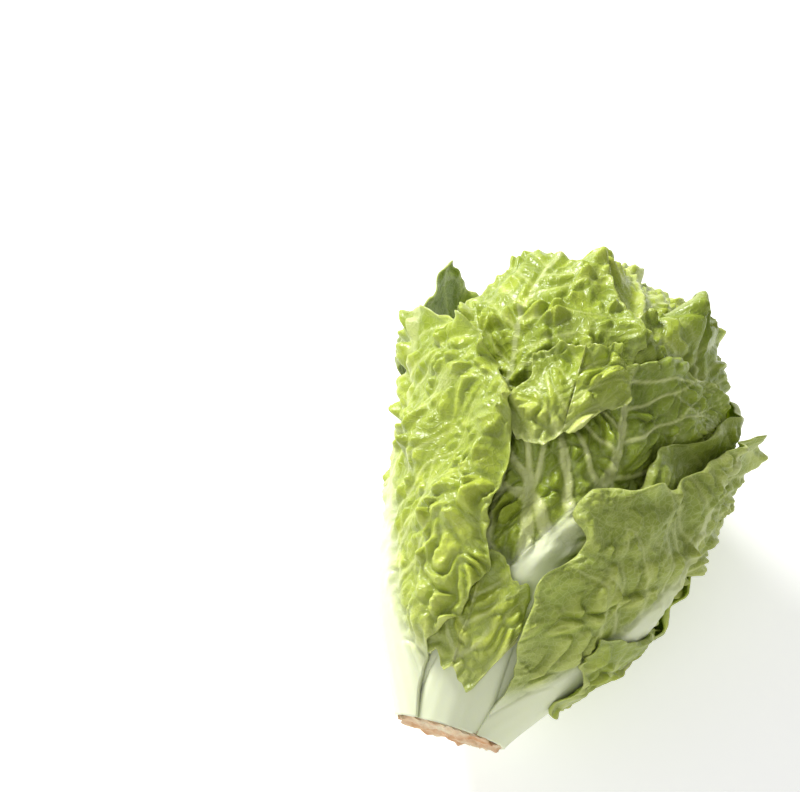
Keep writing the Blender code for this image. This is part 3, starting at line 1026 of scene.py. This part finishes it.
WHITE = (0.78, 0.82, 0.59)
CREAM = (0.74, 0.80, 0.48)
PALE = (0.66, 0.71, 0.27)
PALE_GREEN = (0.72, 0.78, 0.30)
YELLOW_GREEN = (0.54, 0.62, 0.085)
LEAF_GREEN = (0.34, 0.435, 0.032)
DEEP_GREEN = (0.15, 0.215, 0.012)
DULL_GREEN = (0.33, 0.365, 0.115)
TAN = (0.72, 0.50, 0.28)
RUST = (0.52, 0.22, 0.07)
PITH = (0.80, 0.74, 0.52)


@dataclass
class LeafFinish(Finish):
    """Waxy leaf skin: white foot, green blade, pale veins and a fine net between them, with painted shade
    darkening the creases between blisters.
    """

    tone: Tone = Tone()
    net_scale: float = 560.0

    def make(self) -> bpy.types.Material:
        """Builds the material.

        Returns:
            The finished material.
        """
        shader = self.start()
        green, vein, cell, edge, up = (self.mask(n) for n in ("green", "vein", "cell", "edge", "along"))
        cloud = self.noise(38.0, 4.0, 0.6)
        depth = (self.tone.deep * 0.75 + up * 0.45 + (cloud - 0.5) * 0.8 - 0.12).clamp()
        blade = self.mix(depth, YELLOW_GREEN, LEAF_GREEN)
        blade = self.mix((depth - 0.55) * 1.6, blade, DEEP_GREEN)
        blade = self.mix(self.tone.dull * 0.8, blade, DULL_GREEN)
        blade = self.mix((0.62 - up * 1.5).clamp() * self.tone.fade, blade, PALE_GREEN)
        # painted shade: creases between blisters and flat cells are darkened towards deep green
        blade = self.mix((0.9 - cell * 1.2).clamp() * 0.62, blade, DEEP_GREEN)
        net = self.node("ShaderNodeTexVoronoi", {"feature": "DISTANCE_TO_EDGE"}, {
            "Vector": self.place(), "Scale": self.net_scale}, "Distance")
        lines = (1.0 - net * 9.0).clamp()
        blade = self.mix(lines * (0.10 + 0.30 * self.tone.dull), blade, PALE)
        blade = self.mix(vein * self.tone.veins, blade, PALE)
        blade = self.mix(edge * 0.25, blade, PALE)
        foot = self.mix((cloud * 0.5 + up * 0.3).clamp(), WHITE, CREAM)
        colour = self.mix((green * 1.15 - vein * 0.25).clamp(), foot, blade)
        self.link(colour, shader, "Base Color")
        grain = self.noise(900.0, 3.0, 0.6)
        bump = self.node("ShaderNodeBump", {}, {
            "Height": grain * 0.35 + lines * green * 0.8 + self.noise(230.0) * 1.1,
            "Strength": 0.35,
            "Distance": 0.00035,
        })
        self.link(bump, shader, "Normal")
        rough = 0.30 + 0.20 * self.tone.dull
        self.link(self.noise(120.0) * 0.22 + rough - 0.08, shader, "Roughness")
        shader.inputs["IOR"].default_value = 1.42
        shader.inputs["Subsurface Weight"].default_value = 0.32
        shader.inputs["Subsurface Radius"].default_value = (0.9, 1.0, 0.35)
        shader.inputs["Subsurface Scale"].default_value = 0.0016
        shader.inputs["Coat Weight"].default_value = 0.12 * (1.0 - self.tone.dull)
        shader.inputs["Coat Roughness"].default_value = 0.22
        return self.material


@dataclass
class CutFinish(Finish):
    """The browned, corky face of a cut stem."""

    def make(self) -> bpy.types.Material:
        """Builds the material.

        Returns:
            The finished material.
        """
        shader = self.start()
        colour = self.mix((self.noise(260.0, 5.0, 0.65) * 2.2 - 0.6).clamp(), TAN, RUST)
        colour = self.mix((self.noise(90.0, 4.0, 0.6) * 3.0 - 1.25).clamp(), colour, PITH)
        self.link(colour, shader, "Base Color")
        bump = self.node("ShaderNodeBump", {}, {
            "Height": self.noise(700.0, 6.0, 0.7), "Strength": 0.8, "Distance": 0.0006})
        self.link(bump, shader, "Normal")
        shader.inputs["Roughness"].default_value = 0.75
        shader.inputs["Subsurface Weight"].default_value = 0.2
        shader.inputs["Subsurface Radius"].default_value = (1.0, 0.6, 0.3)
        shader.inputs["Subsurface Scale"].default_value = 0.001
        return self.material


# ---------------------------------------------------------------- the stem


@dataclass
class CutStem:
    """The short stem: a rough browned disc at the cut and the cone hidden between leaf feet."""

    shape: HeadShape
    profile: Points = (
        (0.0, 10.1), (6.0, 10.3), (11.0, 9.7), (16.0, 8.6), (22.0, 6.7), (27.0, 5.0), (31.0, 2.6),
    )
    tip: float = 1.6
    facets: int = 28
    butt_radius: float = 15.3
    butt_from: float = -0.6
    butt_to: float = 1.5
    rings: int = 14
    sides: int = 220

    def offset(self) -> np.ndarray:
        """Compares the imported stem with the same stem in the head's own frame.

        Returns:
            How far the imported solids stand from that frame.
        """
        rows = [(0.0, 0.0), *self.profile, (self.profile[-1][0] + self.tip, 0.0)]
        turns = np.arange(self.facets) * math.tau / self.facets
        ring = np.array([(r * math.cos(t), s, -r * math.sin(t)) for s, r in rows for t in turns])
        points = self.shape.laid(ring) - (0.0, 0.0, self.shape.table())
        low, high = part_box("stem")
        middle = np.array((low + high) / 2.0) / MM
        return middle - (points.min(0) + points.max(0)) / 2.0

    def build(self, offset: np.ndarray) -> bpy.types.Object:
        """Writes the stem's mesh, closed at both ends.

        Args:
            offset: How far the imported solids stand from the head's own frame.

        Returns:
            The stem's object, without its finish.
        """
        cone = self.profile[1:]
        s_rows = np.concatenate((
            np.full(self.rings, self.butt_from),
            np.linspace(self.butt_from, self.butt_to, self.rings)[1:],
            [s for s, _ in cone], [self.profile[-1][0] + self.tip],
        ))
        r_rows = np.concatenate((
            np.linspace(0.02, 1.0, self.rings) * self.butt_radius,
            np.full(self.rings - 1, self.butt_radius),
            [r for _, r in cone], [0.05],
        ))
        turn = np.linspace(0.0, math.tau, self.sides, endpoint=False)
        s = s_rows[:, None] + 0.0 * turn
        r = r_rows[:, None] + 0.0 * turn
        x, z = np.sin(turn) * r, np.cos(turn) * r
        on_cut = np.where(s < 0.0, 1.0, 0.0)
        near_rim = smooth(11.0, 15.0, r)
        ragged = waves(x, z, 7.0, 91) * 0.3 + waves(x, z, 2.6, 92) * 0.2
        s = s + (ragged - 0.36 * near_rim * waves(x, z, 9.0, 93)) * on_cut
        bulge = 1.0 + near_rim * (0.018 * waves(x, z, 8.0, 94) + 0.012 * waves(x + 3.0 * s, z, 2.4, 95))
        top = np.where((s > self.butt_to - 0.4) & (r > 12.0), 0.4 * waves(x, z, 5.0, 96), 0.0)
        points = np.stack((x * bulge, s + top, z * bulge), -1)
        placed = self.shape.laid(points) - (0.0, 0.0, self.shape.table()) + offset
        rows, columns = r.shape
        index = np.arange(rows * columns).reshape(rows, columns)
        after = np.roll(index, -1, 1)
        quads = np.stack((index[:-1], after[:-1], after[1:], index[1:]), -1).reshape(-1, 4)
        faces = [tuple(q) for q in quads] + [tuple(index[0][::-1]), tuple(index[-1])]
        mesh = bpy.data.meshes.new("stem")
        mesh.from_pydata([tuple(p) for p in (placed.reshape(-1, 3) * MM)], [], faces)
        mesh.shade_smooth()
        obj = bpy.data.objects.new("cut_stem", mesh)
        bpy.context.scene.collection.objects.link(obj)
        return obj

    def dress(self, obj: bpy.types.Object) -> None:
        """Gives the stem its finish and its place in the part.

        Args:
            obj: The stem's object.
        """
        obj.data.materials.append(CutFinish("cut_stem").make())
        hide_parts("stem")
        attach(obj, "root")


# ---------------------------------------------------------------- studio


@dataclass
class Studio:
    """White table, soft light from the upper left and the camera."""

    azimuth: float = 17.5
    elevation: float = 68.0
    distance: float = 1.3
    lens: float = 200.0
    target: tuple = (0.0, 0.0, 0.045)
    shift: tuple = (-0.184, 0.146)
    table_half: float = 4.0
    table_glow: float = 0.4
    sky: float = 0.42

    def build(self) -> None:
        """Adds table, lights, world and camera."""
        self._table()
        self._lamp("key", (-0.8, 0.65, 0.8), 0.4, 22.0)
        self._lamp("fill", (-0.2, -1.1, 0.9), 1.0, 4.0)
        world = bpy.data.worlds.new("studio")
        bpy.context.scene.world = world
        world.use_nodes = True
        background = world.node_tree.nodes["Background"]
        background.inputs["Color"].default_value = (1.0, 1.0, 1.0, 1.0)
        background.inputs["Strength"].default_value = self.sky
        scene = bpy.context.scene
        scene.view_settings.view_transform = "Standard"
        scene.view_settings.look = "None"
        self._camera()

    def _table(self) -> None:
        """Adds the white table the head lies on."""
        half = self.table_half
        corners = [(-half, -half, 0.0), (half, -half, 0.0), (half, half, 0.0), (-half, half, 0.0)]
        mesh = bpy.data.meshes.new("table")
        mesh.from_pydata(corners, [], [(0, 1, 2, 3)])
        floor = bpy.data.objects.new("table", mesh)
        bpy.context.scene.collection.objects.link(floor)
        finish = Finish("table_white")
        shader = finish.start()
        colour = finish.mix(finish.noise(3.0), (0.90, 0.90, 0.90), (0.92, 0.92, 0.92))
        finish.link(colour, shader, "Base Color")
        shader.inputs["Emission Color"].default_value = (1.0, 1.0, 1.0, 1.0)
        shader.inputs["Emission Strength"].default_value = self.table_glow
        shader.inputs["Roughness"].default_value = 0.9
        shader.inputs["Specular IOR Level"].default_value = 0.0
        mesh.materials.append(finish.material)

    def _lamp(self, name: str, place: tuple, size: float, power: float) -> None:
        """Adds a round lamp that faces the head.

        Args:
            name: Its name.
            place: Where it stands, in metres.
            size: Its diameter in metres.
            power: Its power in watts.
        """
        light = bpy.data.lights.new(name, "AREA")
        light.shape, light.size, light.energy = "DISK", size, power
        lamp = bpy.data.objects.new(name, light)
        lamp.location = place
        lamp.rotation_euler = (Vector(self.target) - Vector(place)).to_track_quat("-Z", "Y").to_euler()
        bpy.context.scene.collection.objects.link(lamp)

    def _camera(self) -> None:
        """Adds the camera, looking down on the head from its front."""
        data = bpy.data.cameras.new("camera")
        data.lens, data.clip_start = self.lens, 0.01
        data.shift_x, data.shift_y = self.shift
        azimuth, elevation = math.radians(self.azimuth), math.radians(self.elevation)
        level = math.cos(elevation)
        back = Vector((math.sin(azimuth) * level, -math.cos(azimuth) * level, math.sin(elevation)))
        place = Matrix.Translation(Vector(self.target) + back * self.distance)
        camera = bpy.data.objects.new("camera", data)
        camera.matrix_world = place @ back.to_track_quat("Z", "Y").to_matrix().to_4x4()
        bpy.context.scene.collection.objects.link(camera)
        bpy.context.scene.camera = camera


# ---------------------------------------------------------------- main


def main() -> None:
    """Builds the stem, the leaves from the heart out, and the studio."""
    logging.basicConfig(level=logging.INFO)
    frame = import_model()
    LOG.info("the packed part has %d nodes", len(frame["nodes"]))
    shape = HeadShape()
    stem = CutStem(shape)
    offset = stem.offset()
    LOG.info("the packed part stands %s mm from the head's own frame", np.round(offset, 2))
    pieces = [stem.build(offset)]
    stem.dress(pieces[0])
    LOG.info("stem built")
    done: list[LeafBlade] = []
    for plan in sorted(PLANS, key=lambda item: -item.level):
        blade = LeafBlade(plan, shape)
        blade.drape(done)
        done.append(blade)
        leaf = blade.build(offset)
        blade.dress(leaf)
        pieces.append(leaf)
        LOG.info("%s laid at level %.1f", plan.name, plan.level)
    Studio().build()


if __name__ == "__main__":
    main()
